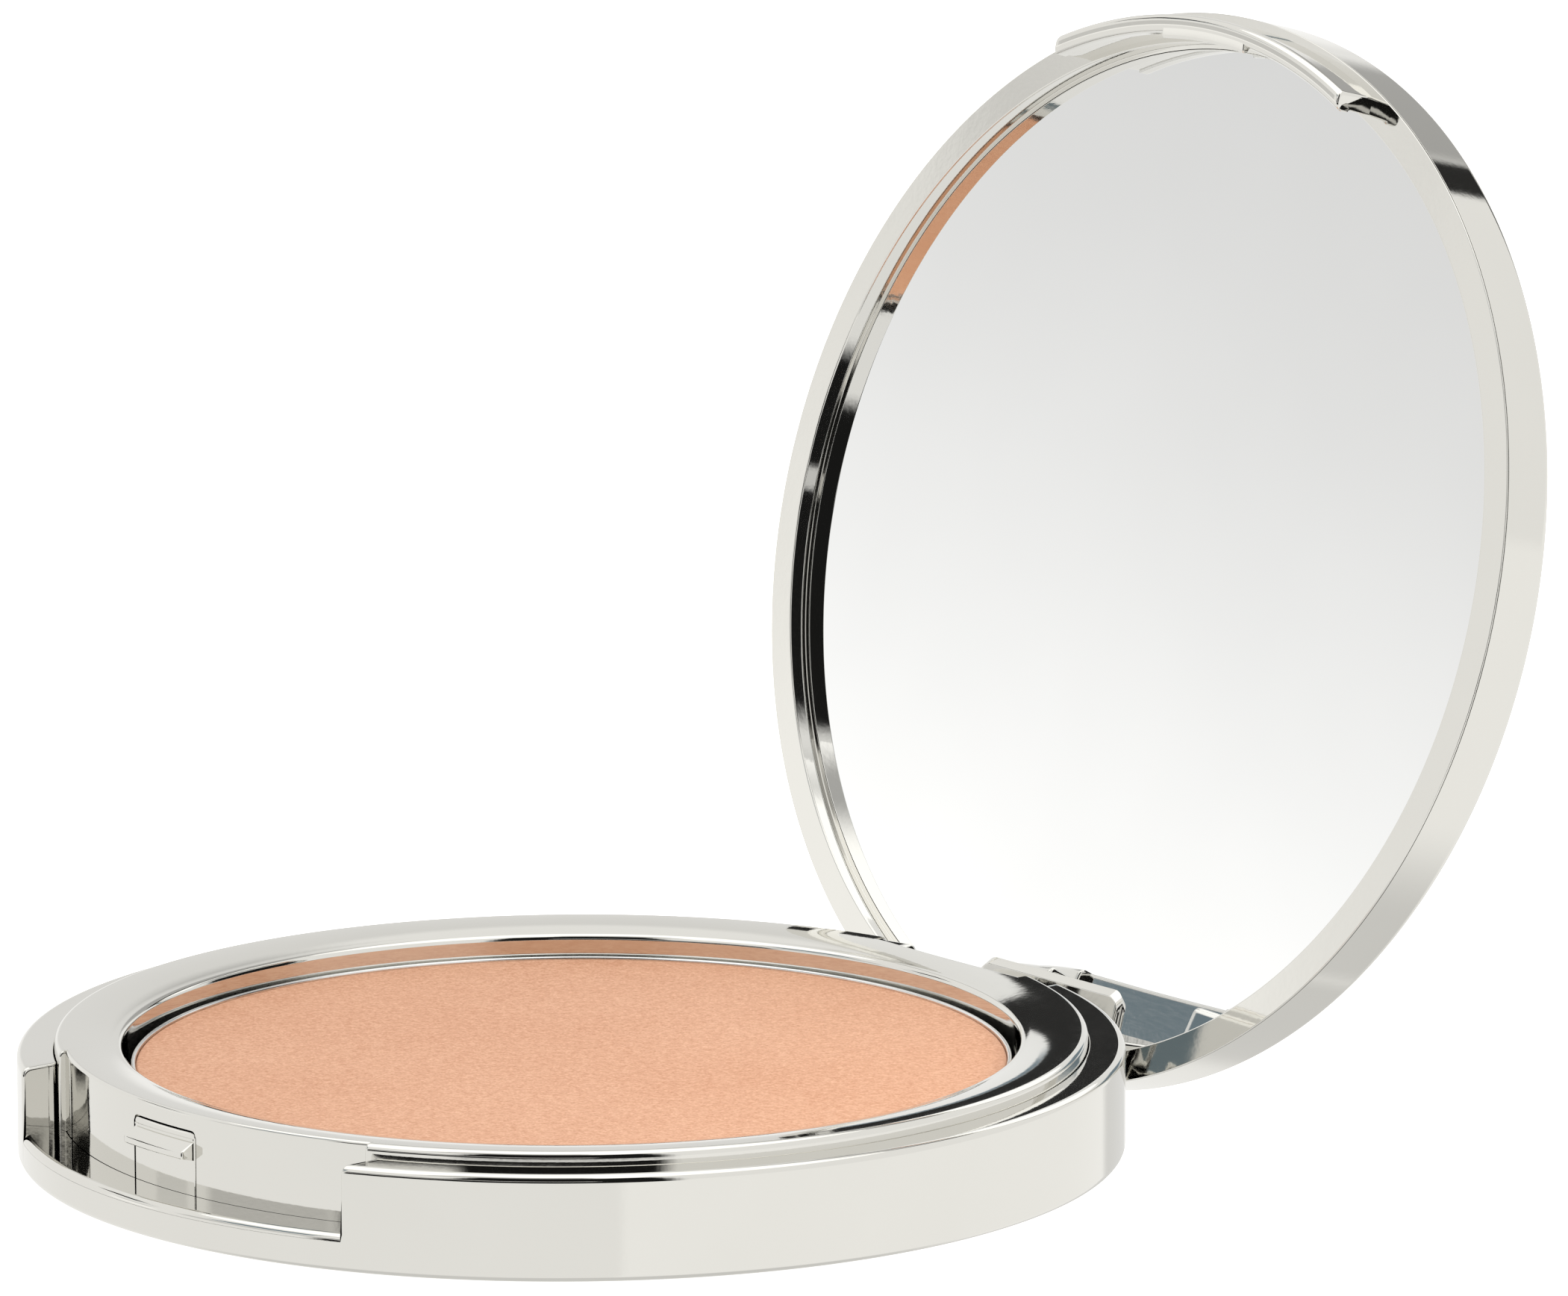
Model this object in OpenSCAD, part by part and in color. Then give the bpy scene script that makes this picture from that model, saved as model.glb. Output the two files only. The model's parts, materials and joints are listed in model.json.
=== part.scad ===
// Round powder compact with a mirror in its lid, standing open.
// Origin: centre of the base's underside. +Z up, -Y is the thumb notch, +Y is the hinge.
// The lid is drawn shut, directly over the base, and swung open about the hinge axis.

/* [Case] */
// Radius of the base and of the lid
case_r = 37; // [36.5:0.5:38]
// Height of the base's outer wall, up to the ledge that the lid shuts on
base_h = 7.125; // [7:0.125:7.5]
// Height of the lid, from its rim to its crown's edge
lid_h = 4.22; // [4:0.02:4.6]
// Gap between the shut lid's rim and the ledge
seam = 0.25; // [0.2:0.05:0.3]
// Rounding of the case's outer edges
edge_r = 0.5; // [0.3:0.05:0.6]

/* [Powder] */
// Radius of the pan that holds the powder
pan_r = 29.4; // [28:0.1:29.5]
// Height of the pan's rim above the underside
pan_top = 6.2; // [6:0.1:6.4]
// Thickness of the pan's sheet
pan_t = 0.3; // [0.2:0.05:0.4]

/* [Thumb notch and catch] */
// Half width of the thumb notch
notch_x = 17.3; // [16.5:0.1:18]
// Radius of the notch's back wall
notch_r = 34; // [33.8:0.1:34.2]
// Height of the notch's shelf
shelf_z = 2.55; // [2.4:0.05:2.7]
// Half width of the springy catch tongue
tongue_x = 3.26; // [3:0.02:3.6]
// Width of the slit round the tongue
slit = 0.12; // [0.12:0.02:0.2]
// Half width of the lid's thumb tab
tab_x = 14.85; // [14:0.05:15.5]
// Length of the thumb tab below the lid's rim
tab_drop = 3; // [2.6:0.1:3.2]

/* [Hinge] */
// Hinge axis behind the case's centre
hinge_y = 34.635; // [34.5:0.005:34.8]
// Hinge axis above the underside
hinge_z = 2.455; // [2.3:0.005:2.6]
// Radius of the hinge pin
pin_r = 0.8; // [0.6:0.05:0.9]
// Radius of the lid's knuckle round the pin
knuckle_r = 1.65; // [1.4:0.05:1.7]
// Half width of the knuckle and of its block
knuckle_x = 7.3; // [6.5:0.1:8]
// Angle that the lid opens to
open_deg = 105.58; // [95:0.01:106]

/* [Hidden] */

$fn = 180;
eps = 0.01;
gap = 0.05;               // play between pieces that fit inside each other

floor_t = 1.2;            // base shell's floor
shell_in_r = 34.55;       // inside of the base shell's wall
tray_r = shell_in_r - gap;
tray_t = 0.8;             // wall of the tray's moulding
tray_z = floor_t + gap;
well_r = 29.94;           // inside of the powder well
well_z = tray_z + tray_t; // top of the well's floor
collar_z = 8.05;          // top of the collar round the powder
step_z = 7.6;             // top of the collar's upright step
step_draft = 0.06;        // how far the step leans in towards its top
collar_r = tray_r - step_draft - 0.45; // where the collar's top starts to round over
lip_z = 7.574;            // the collar's top at the well's edge
lip_round = 0.4;          // rounding of the well's lip
collar_crown = 0.15;      // how much the collar's top bulges between its edges
glue_t = 0.12;
pan_z = well_z + glue_t;
powder_top = pan_top - 0.17;
label_r = 21;
label_t = 0.12;

tongue_z = shelf_z - 0.04; // root of the tongue
tongue_h = 4.28;
bar_low = 4.93;           // catch bar: foot of its underside
bar_high = 6.15;          // catch bar: head of its ramp
bar_out = 1;              // how far the bar stands out of the tongue
tongue_back = 0.8;        // the tongue's thickness

recess_x = knuckle_x + 0.3;
recess_y = hinge_y - knuckle_r - 0.2;
recess_web = 0.45;        // floor left under the knuckle
block_y = 29.6;           // edge of the knuckle's block on the mirror's face
block_round = 1;          // rounding of the block's two corners over the mirror
pin_half = 9.5;           // the pin ends inside the wall

lid_z = base_h + seam;    // the shut lid's rim plane
lid_top = lid_z + lid_h;
lid_crown = 0.25;         // how much the lid's back bulges at its middle
lid_wall = 0.5;           // outer shell's wall
rim_fall = 0.13;          // how far the rim's face falls back from its inner to its outer edge
lap_z = lid_z + rim_fall + 0.1; // where the frame's rim ends and the shell's wall starts, outside
lap_gap = 0.04;           // the same seam's width
frame_r = case_r - lid_wall - gap;
rim_in_r = 34.85;         // inside of the mirror frame's rim
undercut = 0.17;          // how much wider the rim is at the mirror, which snaps in under it
mirror_r = 34.7;
mirror_z = lid_z + 1.6;   // the mirror's face
mirror_t = 1.1;
tape_t = 0.1;
plate_z = mirror_z + mirror_t + tape_t;
plate_t = 0.55;
shell_z = plate_z + plate_t + gap;
tab_out_r = 36.45;
tab_in_r = 35.3;
tab_tip_r = 0.5;
tab_seat = 0.45;          // how deep the tab is let into the frame's rim

chrome = "#d5d4cf";
steel = "#a9abad";
powder_peach = "#e7b08c";

// points of an arc round c, from angle a to angle b
function arc(c, r, a, b, n = 6) =
    [for (i = [0 : n]) let (t = a + (b - a) * i / n) c + r * [cos(t), sin(t)]];

// the collar's bulging top, from its outer edge to the well's lip
function collar_top(n = 8) =
    [for (i = [1 : n]) let (t = i / n)
        [collar_r + t * (well_r + lip_round - collar_r),
         collar_z + t * (lip_z - collar_z) + 4 * collar_crown * t * (1 - t)]];

// a ring turned from z0 to z1
module ring(r_in, r_out, z0, z1) {
    translate([0, 0, z0]) difference() {
        cylinder(r = r_out, h = z1 - z0);
        translate([0, 0, -1]) cylinder(r = r_in, h = z1 - z0 + 2);
    }
}

// everything in front of the case's middle and within half_x of the centre line
module front_slab(half_x, z0, z1) {
    translate([-half_x, -case_r - 5, z0]) cube([2 * half_x, case_r + 5 - 20, z1 - z0]);
}

// swings what is drawn shut out to the open position
module open_lid() {
    translate([0, hinge_y, hinge_z]) rotate([-open_deg, 0, 0])
        translate([0, -hinge_y, -hinge_z]) children();
}

// a block whose outline is drawn in (y, z) and whose width runs along x
module across(half_x) {
    translate([half_x, 0, 0]) rotate([90, 0, -90]) mirror([1, 0, 0])
        linear_extrude(2 * half_x) children();
}

// a cylinder about the hinge axis, for the pin and for the bores that it sits in
module pin_bore(r, half_len) {
    translate([-half_len, hinge_y, hinge_z]) rotate([0, 90, 0]) cylinder(r = r, h = 2 * half_len, $fn = 48);
}

module base_shell() {
    color(chrome) difference() {
        rotate_extrude() polygon(concat(
            [[0, 0]],
            arc([case_r - edge_r, edge_r], edge_r, -90, 0),
            arc([case_r - edge_r, base_h - edge_r], edge_r, 0, 90),
            [[shell_in_r, base_h], [shell_in_r, floor_t], [0, floor_t]]));
        // thumb notch, with a rounded shelf edge left under it
        intersection() {
            rotate_extrude() polygon(concat(
                [[notch_r + gap, base_h + 1], [notch_r + gap, shelf_z]],
                arc([case_r - edge_r, shelf_z - edge_r], edge_r, 90, 0),
                [[case_r + 2, shelf_z - edge_r], [case_r + 2, base_h + 1]]));
            front_slab(notch_x, 1, base_h + 2);
        }
        // room for the knuckle at the back
        translate([-recess_x, recess_y, recess_web])
            cube([2 * recess_x, case_r - recess_y + 2, base_h]);
        // bore for the pin, blind at both ends
        pin_bore(pin_r, pin_half + gap);
        translate([0, 0, -eps]) cylinder(r = label_r + gap, h = label_t + eps);
    }
    // foot of the notch's back wall, under the shelf's level
    color(chrome) intersection() {
        ring(notch_r + gap, shell_in_r + eps, floor_t - eps, shelf_z);
        front_slab(notch_x, 0, base_h);
    }
}

module inner_tray() {
    color(chrome) difference() {
        union() {
            rotate_extrude() polygon(concat(
                [[0, tray_z], [well_r + tray_t, tray_z], [well_r + tray_t, lip_z - tray_t],
                 [tray_r - tray_t, step_z - tray_t + 0.1], [tray_r - tray_t, tray_z], [tray_r, tray_z],
                 [tray_r, base_h - gap], [tray_r - step_draft, step_z]],
                arc([collar_r, step_z], 0.45, 15, 90, 5),
                collar_top(),
                arc([well_r + lip_round, lip_z - lip_round], lip_round, 90, 180, 4),
                [[well_r, well_z], [0, well_z]]));
            // thicker wall behind the thumb notch
            intersection() {
                ring(notch_r - tongue_back, tray_r - 0.1, tray_z, step_z - 0.2);
                front_slab(notch_x + 1.5, 0, base_h + 2);
            }
            // wall in front of the hinge recess, inside the hollow rim
            intersection() {
                translate([-recess_x - 0.8, recess_y - 0.85, tray_z])
                    cube([2 * recess_x + 1.6, 3, step_z - 0.3 - tray_z]);
                cylinder(r = tray_r - 0.1, h = 20);
            }
        }
        // the notch's back wall
        intersection() {
            ring(notch_r, case_r, tray_z - 1, collar_z + 1);
            front_slab(notch_x - 0.7, 0, collar_z + 2);
        }
        // window for the tongue
        translate([-tongue_x - slit, -case_r, tongue_z - 0.06])
            cube([2 * (tongue_x + slit), case_r - notch_r + 1.6, tongue_h + slit / 2 + 0.06]);
        // room for the knuckle
        translate([-recess_x, recess_y, recess_web])
            cube([2 * recess_x, 6, collar_z + 2]);
        // room for the pin in the skirt
        pin_bore(pin_r + 0.1, pin_half + 1);
    }
}

module catch_tongue() {
    color(chrome) {
        difference() {
            intersection() {
                ring(notch_r - tongue_back, notch_r, tongue_z, tongue_z + tongue_h);
                front_slab(tongue_x, 0, base_h);
            }
            // thumbnail groove over the bar
            intersection() {
                ring(notch_r - 0.12, notch_r + 1, bar_high + 0.1, bar_high + 0.22);
                front_slab(tongue_x + 1, 0, base_h);
            }
        }
        // catch bar with a ramp on top and a slightly hooked underside
        intersection() {
            rotate_extrude() polygon([
                [notch_r - 0.3, bar_low], [notch_r, bar_low],
                [notch_r + bar_out - 0.06, bar_low + 0.24], [notch_r + bar_out, bar_low + 0.3],
                [notch_r + bar_out, bar_low + 0.64], [notch_r + bar_out - 0.06, bar_low + 0.72],
                [notch_r, bar_high], [notch_r - 0.3, bar_high]]);
            front_slab(tongue_x - 0.1, 0, base_h);
        }
    }
}

module powder_pan() {
    color(steel) rotate_extrude() polygon(concat(
        [[0, pan_z], [pan_r - 0.6, pan_z]],
        arc([pan_r - 0.6, pan_z + 0.6], 0.6, -90, 0, 4),
        arc([pan_r - pan_t / 2, pan_top - pan_t / 2], pan_t / 2, 0, 180, 6),
        [[pan_r - pan_t, pan_z + 0.6], [pan_r - 0.6, pan_z + pan_t], [0, pan_z + pan_t]]));
}

module pressed_powder() {
    color(powder_peach) rotate_extrude() polygon(concat(
        [[0, pan_z + pan_t], [pan_r - 0.62, pan_z + pan_t], [pan_r - pan_t - 0.02, pan_z + 0.62],
         [pan_r - pan_t - 0.02, powder_top - 0.12]],
        arc([pan_r - pan_t - 0.14, powder_top - 0.12], 0.12, 0, 90, 3),
        [[0, powder_top]]));
}

// spots of glue between the pan and the well
module pan_glue_dots() {
    color("#d9cfa8") {
        translate([0, 0, well_z]) cylinder(r = 3.5, h = glue_t, $fn = 48);
        for (a = [45 : 90 : 315])
            rotate([0, 0, a]) translate([18, 0, well_z]) cylinder(r = 3.5, h = glue_t, $fn = 48);
    }
}

module hinge_pin() {
    color(steel) pin_bore(pin_r, pin_half);
}

module base_label() {
    color("#f2f0ea") cylinder(r = label_r, h = label_t);
}

module lid_shell() {
    color(chrome) open_lid() rotate_extrude() polygon(concat(
        [[case_r - lid_wall, lap_z + lap_gap + lid_wall], [case_r, lap_z + lap_gap]],
        arc([case_r - 0.6, lid_top - 0.6], 0.6, 0, 84, 6),
        [[24, lid_top + 0.6 * lid_crown], [12, lid_top + 0.9 * lid_crown], [0, lid_top + lid_crown],
         [0, shell_z], [case_r - lid_wall - 0.2, shell_z], [case_r - lid_wall, shell_z - 0.2]]));
}

module mirror_frame() {
    color(chrome) open_lid() difference() {
        union() {
            rotate_extrude() polygon(concat(
                [[0, plate_z], [mirror_r + gap, plate_z], [mirror_r + gap, mirror_z],
                 [rim_in_r + undercut, mirror_z - 0.15]],
                arc([rim_in_r + 0.1, lid_z + 0.1], 0.1, 180, 270, 3),
                arc([case_r - 0.06, lid_z + rim_fall + 0.06], 0.06, 270, 360, 3),
                [[case_r, lap_z], [frame_r, lap_z + case_r - frame_r], [frame_r, plate_z + plate_t],
                 [0, plate_z + plate_t]]));
            hinge_block();
        }
        pin_bore(pin_r + gap, knuckle_x + 1);
        // seat of the thumb tab
        intersection() {
            ring(tab_in_r, tab_out_r, lid_z - 1, lid_z + tab_seat);
            front_slab(tab_x, 0, 20);
        }
    }
}

// block on the mirror's face, over the collar and down round the pin
module hinge_block() {
    difference() {
        union() {
            across(knuckle_x) polygon([
                [block_y, mirror_z + 0.06], [block_y + 0.55, mirror_z - 0.5], [33.2, mirror_z - 0.55],
                [hinge_y - knuckle_r * cos(20), hinge_z + 4.2], [hinge_y - knuckle_r, hinge_z],
                [hinge_y + 0.9, hinge_z], [hinge_y + 0.9, lid_z + 0.2], [rim_in_r + 0.5, lid_z + 0.2],
                [rim_in_r + 0.5, mirror_z + 0.06]]);
            translate([-knuckle_x, hinge_y, hinge_z]) rotate([0, 90, 0])
                cylinder(r = knuckle_r, h = 2 * knuckle_x, $fn = 64);
        }
        // rounded corners over the mirror
        for (s = [-1, 1]) translate([s * (knuckle_x - block_round), block_y + block_round, 0]) difference() {
            translate([s > 0 ? 0 : -3, -3, mirror_z - 1]) cube([3, 3, 2]);
            translate([0, 0, mirror_z - 2]) cylinder(r = block_round, h = 4, $fn = 64);
        }
    }
}

module thumb_tab() {
    tip_z = lid_z - tab_drop;
    mid_r = (tab_in_r + tab_out_r) / 2;
    color(chrome) open_lid() intersection() {
        union() {
            rotate_extrude() polygon(concat(
                [[tab_in_r, lid_z + tab_seat], [tab_in_r, tip_z + tab_tip_r]],
                arc([tab_in_r + tab_tip_r, tip_z + tab_tip_r], tab_tip_r, 180, 270, 4),
                arc([tab_out_r - tab_tip_r, tip_z + tab_tip_r], tab_tip_r, 270, 360, 4),
                [[tab_out_r, lid_z + tab_seat]]));
            // rib that hooks under the catch bar
            intersection() {
                rotate_extrude() polygon([
                    [mid_r, 4.42], [tab_in_r - 0.35, 4.5], [tab_in_r - 0.52, 4.62],
                    [tab_in_r - 0.52, 4.86], [tab_in_r - 0.3, 5.02], [mid_r, 5.05]]);
                front_slab(tongue_x + 1, 0, 20);
            }
        }
        front_slab(tab_x, 0, 20);
    }
}

module mirror_glass() {
    color("#e6e9ec") open_lid() difference() {
        translate([0, 0, mirror_z]) cylinder(r = mirror_r, h = mirror_t);
        // flat cut out of the glass for the hinge block
        translate([-knuckle_x - 0.2, block_y - 0.1, mirror_z - 1]) cube([2 * knuckle_x + 0.4, 10, 1.1]);
    }
}

module mirror_adhesive() {
    color("#c9c4b4") open_lid() translate([0, 0, mirror_z + mirror_t]) cylinder(r = 30, h = tape_t);
}

base_shell();
inner_tray();
catch_tongue();
powder_pan();
pressed_powder();
pan_glue_dots();
hinge_pin();
base_label();
lid_shell();
mirror_frame();
thumb_tab();
mirror_glass();
mirror_adhesive();
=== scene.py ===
"""Looks of the open chrome powder compact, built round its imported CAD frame.

Shapes are worked out in millimetres, in the CAD's own frame, and scaled to metres when a mesh is made.
An angle round the case starts at the front, where the thumb notch is, and turns towards +X.
The lid's pieces are drawn shut over the base and swung open about the hinge, as in the CAD.
"""

import json
import math

import bmesh
import bpy
import numpy as np
from mathutils import Matrix, Vector


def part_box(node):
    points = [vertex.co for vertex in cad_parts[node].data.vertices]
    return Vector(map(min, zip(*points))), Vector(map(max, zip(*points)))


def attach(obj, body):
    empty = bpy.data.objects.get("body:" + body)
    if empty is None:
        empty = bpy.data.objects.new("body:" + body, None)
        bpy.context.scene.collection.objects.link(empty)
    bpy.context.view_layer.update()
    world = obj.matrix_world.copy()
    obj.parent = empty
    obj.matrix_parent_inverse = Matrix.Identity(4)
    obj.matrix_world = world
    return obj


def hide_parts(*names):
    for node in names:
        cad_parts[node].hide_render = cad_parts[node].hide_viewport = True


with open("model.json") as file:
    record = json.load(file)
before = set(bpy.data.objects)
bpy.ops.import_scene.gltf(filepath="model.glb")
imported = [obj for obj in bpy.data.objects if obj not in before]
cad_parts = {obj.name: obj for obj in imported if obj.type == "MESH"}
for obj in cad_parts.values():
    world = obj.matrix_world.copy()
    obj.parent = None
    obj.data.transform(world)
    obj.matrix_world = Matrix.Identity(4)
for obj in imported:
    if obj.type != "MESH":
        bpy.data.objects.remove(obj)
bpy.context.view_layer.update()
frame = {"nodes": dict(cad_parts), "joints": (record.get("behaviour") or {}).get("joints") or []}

MM = 0.001
HALF_TURN = math.pi

# ---------------------------------------------------------------- sizes, from the frame where it has them


def cad_mm(node):
    """A CAD node's lowest and highest corner, in millimetres."""
    low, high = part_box(node)
    return np.array(low) / MM, np.array(high) / MM


CASE_R, _, BASE_H = cad_mm("base_shell")[1]
PAN_R = cad_mm("powder_pan")[1][0]
PAN_LOW, PAN_TOP = cad_mm("powder_pan")[0][2], cad_mm("powder_pan")[1][2]
POWDER_TOP = cad_mm("pressed_powder")[1][2]
TRAY_R = cad_mm("inner_tray")[1][0]
TRAY_LOW = cad_mm("inner_tray")[0][2]
TONGUE_LOW, TONGUE_HIGH = cad_mm("catch_tongue")[0][2], cad_mm("catch_tongue")[1][2]
TONGUE_X = cad_mm("catch_tongue")[1][0]
TAB_X = cad_mm("thumb_tab")[1][0]
PIN_X = cad_mm("hinge_pin")[1][0]
GLASS_R = cad_mm("mirror_glass")[1][0]
LABEL_R = cad_mm("base_label")[1][0]
LABEL_T = cad_mm("base_label")[1][2]

lid_joint = next(j for j in frame["joints"] if j["name"] == "lid_hinge")
HINGE_Y, HINGE_Z = lid_joint["pos_m"][1] / MM, lid_joint["pos_m"][2] / MM
OPEN = math.radians(lid_joint["range_deg"][1])

PLAY = 0.05         # between pieces that fit inside each other

# the hinge
PIN_R = 0.8
KNUCKLE_R = 1.65
KNUCKLE_X = 7.3
BLOCK_Y = 29.6      # the hinge block's edge over the mirror
BLOCK_BEND_Y = 33.05
BLOCK_ROUND = 1.0   # its corners in plan, which are square again from BLOCK_FADE_Y on
BLOCK_FADE_Y = 32.2

# the base
EDGE = 0.5
SHELL_IN_R = TRAY_R + PLAY
FLOOR_T = 1.2
NOTCH_X = 17.3
NOTCH_R = 34.0      # the notch's back wall
SHELF_Z = 2.55
RECESS_X = KNUCKLE_X + 0.3
RECESS_Y = HINGE_Y - KNUCKLE_R - 0.2
RECESS_WEB = 0.45   # what is left of the wall under the knuckle
WELL_R = 29.94
WELL_Z = TRAY_LOW + 0.8
LIP_Z = 7.574       # the collar's top at the well's edge
COLLAR_Z = 8.05     # and at its outer edge
COLLAR_CROWN = 0.15
COLLAR_ROUND = 0.45
STEP_X = NOTCH_X - 0.7
STEP_DRAFT = 0.06   # how far the collar's upright edge leans in, away from the notch
STEP_ROUND = 0.22
LIP_ROUND = 0.4
PAN_T = 0.3

# the catch
SLIT = 0.12         # round the tongue
TONGUE_T = 0.8
TONGUE_CORNER = 0.35
BAR_LOW, BAR_HIGH = 4.93, 6.17              # where the bar starts and ends on the tongue
FACE_LOW, FACE_HIGH = 5.23, 5.57            # the bar's upright face
BAR_X = TONGUE_X - 0.1
BEAD_LOW, BEAD_HIGH = 6.24, 6.4             # a fine bead over the bar
WINDOW_X = TONGUE_X + SLIT                  # the tray's opening, in which the tongue stands
WINDOW_CORNER = 0.45
WINDOW_DEPTH = 1.5

# the lid, shut
LID_Z = BASE_H + 0.25                       # its rim
LID_TOP = LID_Z + 4.22
LID_CROWN = 0.25                            # how much its back bulges
LID_WALL = 0.5
RIM_IN_R = 34.85
UNDERCUT = 0.17                             # how much wider the rim is at the mirror
RIM_FALL = 0.13                             # how far the rim's face falls back to its outer edge
LAP_Z = LID_Z + RIM_FALL + 0.1              # where the frame's rim ends and the shell's wall starts
LAP_GAP = 0.04
MIRROR_Z = LID_Z + 1.6
MIRROR_T = 1.1
PLATE_Z = MIRROR_Z + MIRROR_T + 0.1
PLATE_T = 0.55
SHELL_IN_Z = PLATE_Z + PLATE_T + PLAY
TAB_SEAT = 0.45                             # how deep the tab is let into the rim
TAB_OUT_R, TAB_IN_R = 36.45, 35.3
TAB_TIP_Z = LID_Z - 3.0
TAB_STEP_Z, TAB_STEP = 5.5, 0.12            # below this height the tab is thicker by a small step
RIB_LOW, RIB_HIGH = 4.42, 5.05              # the tab's rib, which snaps under the catch bar
RIB_OUT, RIB_ROOT = 0.52, 0.3               # how far it reaches in front of TAB_IN_R and behind it

# ---------------------------------------------------------------- camera

CAM_AZ, CAM_EL = math.radians(51.0), math.radians(11.93)
CAM_ROLL = math.radians(-0.185)
CAM_DIST = 985.9
CAM_TARGET = (8.817, 11.225, 33.917)
CAM_LENS, CAM_SENSOR = 340.95, 36.0


def make_camera():
    data = bpy.data.cameras.new("camera")
    data.lens, data.sensor_width, data.sensor_fit = CAM_LENS, CAM_SENSOR, "HORIZONTAL"
    data.clip_start, data.clip_end = 0.01, 50
    level = math.cos(CAM_EL)
    back = Vector((math.sin(CAM_AZ) * level, -math.cos(CAM_AZ) * level, math.sin(CAM_EL)))
    right = Vector((math.cos(CAM_AZ), math.sin(CAM_AZ), 0))
    turn = Matrix((right, back.cross(right), back)).transposed() @ Matrix.Rotation(CAM_ROLL, 3, "Z")
    camera = bpy.data.objects.new("camera", data)
    camera.matrix_world = Matrix.Translation((Vector(CAM_TARGET) + back * CAM_DIST) * MM) @ turn.to_4x4()
    bpy.context.scene.collection.objects.link(camera)
    bpy.context.scene.camera = camera


make_camera()

# ---------------------------------------------------------------- outlines


def rounded(corners, steps=6, support=0.02, closed=False):
    """Points of an outline whose corners are (a, b) or (a, b, radius).

    A rounded corner becomes an arc, and a point is added close to each of its ends, so that smooth shading
    keeps the flats beside it flat.
    """
    points = []
    count = len(corners)
    for i, corner in enumerate(corners):
        here = np.array(corner[:2], float)
        radius = corner[2] if len(corner) > 2 else 0
        at_end = not closed and i in (0, count - 1)
        if radius == 0 or at_end:
            points.append(here)
            continue
        before = np.array(corners[i - 1][:2], float) - here
        after = np.array(corners[(i + 1) % count][:2], float) - here
        before, after = before / np.linalg.norm(before), after / np.linalg.norm(after)
        half = math.acos(float(np.clip(before @ after, -1, 1))) / 2
        reach = radius / math.tan(half)
        middle = (before + after) / np.linalg.norm(before + after)
        centre = here + middle * radius / math.sin(half)
        first = here + before * reach - centre
        last = here + after * reach - centre
        sweep = math.atan2(first[0] * last[1] - first[1] * last[0], first @ last)
        points.append(here + before * (reach + support))
        for k in range(steps + 1):
            a = sweep * k / steps
            points.append(centre + np.array([first[0] * math.cos(a) - first[1] * math.sin(a),
                                             first[0] * math.sin(a) + first[1] * math.cos(a)]))
        points.append(here + after * (reach + support))
    return np.array(points)


def join(stretches):
    """One list of points from several."""
    return [tuple(p) for stretch in stretches for p in stretch]


def padded(points, count):
    """The same outline with extra points on its longest stretch, so that it has count points."""
    points = [np.array(p, float) for p in points]
    while len(points) < count:
        gaps = [np.linalg.norm(points[i + 1] - points[i]) for i in range(len(points) - 1)]
        i = int(np.argmax(gaps))
        points.insert(i + 1, (points[i] + points[i + 1]) / 2)
    return np.array(points)


def inset(points, amount):
    """A closed outline, moved inwards by amount along its own normals."""
    ahead = np.roll(points, -1, 0) - points
    behind = points - np.roll(points, 1, 0)
    ahead /= np.linalg.norm(ahead, axis=1)[:, None] + 1e-12
    behind /= np.linalg.norm(behind, axis=1)[:, None] + 1e-12
    along = ahead + behind
    along /= np.linalg.norm(along, axis=1)[:, None] + 1e-12
    normal = np.stack([-along[:, 1], along[:, 0]], 1)
    area = np.sum(points[:, 0] * np.roll(points[:, 1], -1) - np.roll(points[:, 0], -1) * points[:, 1])
    return points + normal * amount * (1 if area > 0 else -1)


def end_steps(bevel, steps=5):
    """(distance from an end, inset there) pairs that round an end off by bevel."""
    return [(bevel * (1 - math.cos(a)), bevel * (1 - math.sin(a)))
            for a in np.linspace(0, HALF_TURN / 2, steps + 1)]


# ---------------------------------------------------------------- meshes


def make_piece(name, node, body, verts, faces, material, sharp=38):
    """Makes a closed mesh from points in millimetres and puts it on its body, in place of its CAD node."""
    mesh = bpy.data.meshes.new(name)
    mesh.from_pydata([tuple(np.array(v) * MM) for v in verts], [], faces)
    work = bmesh.new()
    work.from_mesh(mesh)
    bmesh.ops.remove_doubles(work, verts=work.verts, dist=1e-7)
    bmesh.ops.dissolve_degenerate(work, edges=work.edges, dist=1e-8)
    bmesh.ops.recalc_face_normals(work, faces=work.faces)
    work.to_mesh(mesh)
    work.free()
    mesh.shade_smooth()
    mesh.set_sharp_from_angle(angle=math.radians(sharp))
    mesh.materials.append(material)
    piece = bpy.data.objects.new(name, mesh)
    bpy.context.scene.collection.objects.link(piece)
    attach(piece, body)
    if node:
        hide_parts(node)


def mirrored(columns):
    """The same columns on the other side of the middle, in reverse order."""
    return [[(-x, y, z) for x, y, z in column] for column in reversed(columns)]


def grid(columns, wrap_columns, wrap_points):
    """Vertices and quads of a grid of columns that all have the same number of points.

    A grid that isn't wrapped round gets a face on each end.
    """
    rows = len(columns[0])
    verts = [p for column in columns for p in column]
    faces = []
    for c in range(len(columns) if wrap_columns else len(columns) - 1):
        d = (c + 1) % len(columns)
        for r in range(rows if wrap_points else rows - 1):
            s = (r + 1) % rows
            faces.append((c * rows + r, d * rows + r, d * rows + s, c * rows + s))
    if not wrap_columns:
        faces.append(tuple(reversed(range(rows))))
        faces.append(tuple((len(columns) - 1) * rows + r for r in range(rows)))
    return verts, faces


def ring_point(r, z, angle):
    """A point at an angle from the front, turning towards +X."""
    return (r * math.sin(angle), -r * math.cos(angle), z)


def lathe(profile, count=480):
    """A full turn of a profile of (r, z) points."""
    columns = [[ring_point(r, z, 2 * HALF_TURN * k / count) for r, z in profile] for k in range(count)]
    return grid(columns, True, min(profile[0][0], profile[-1][0]) > 1e-6)


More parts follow.
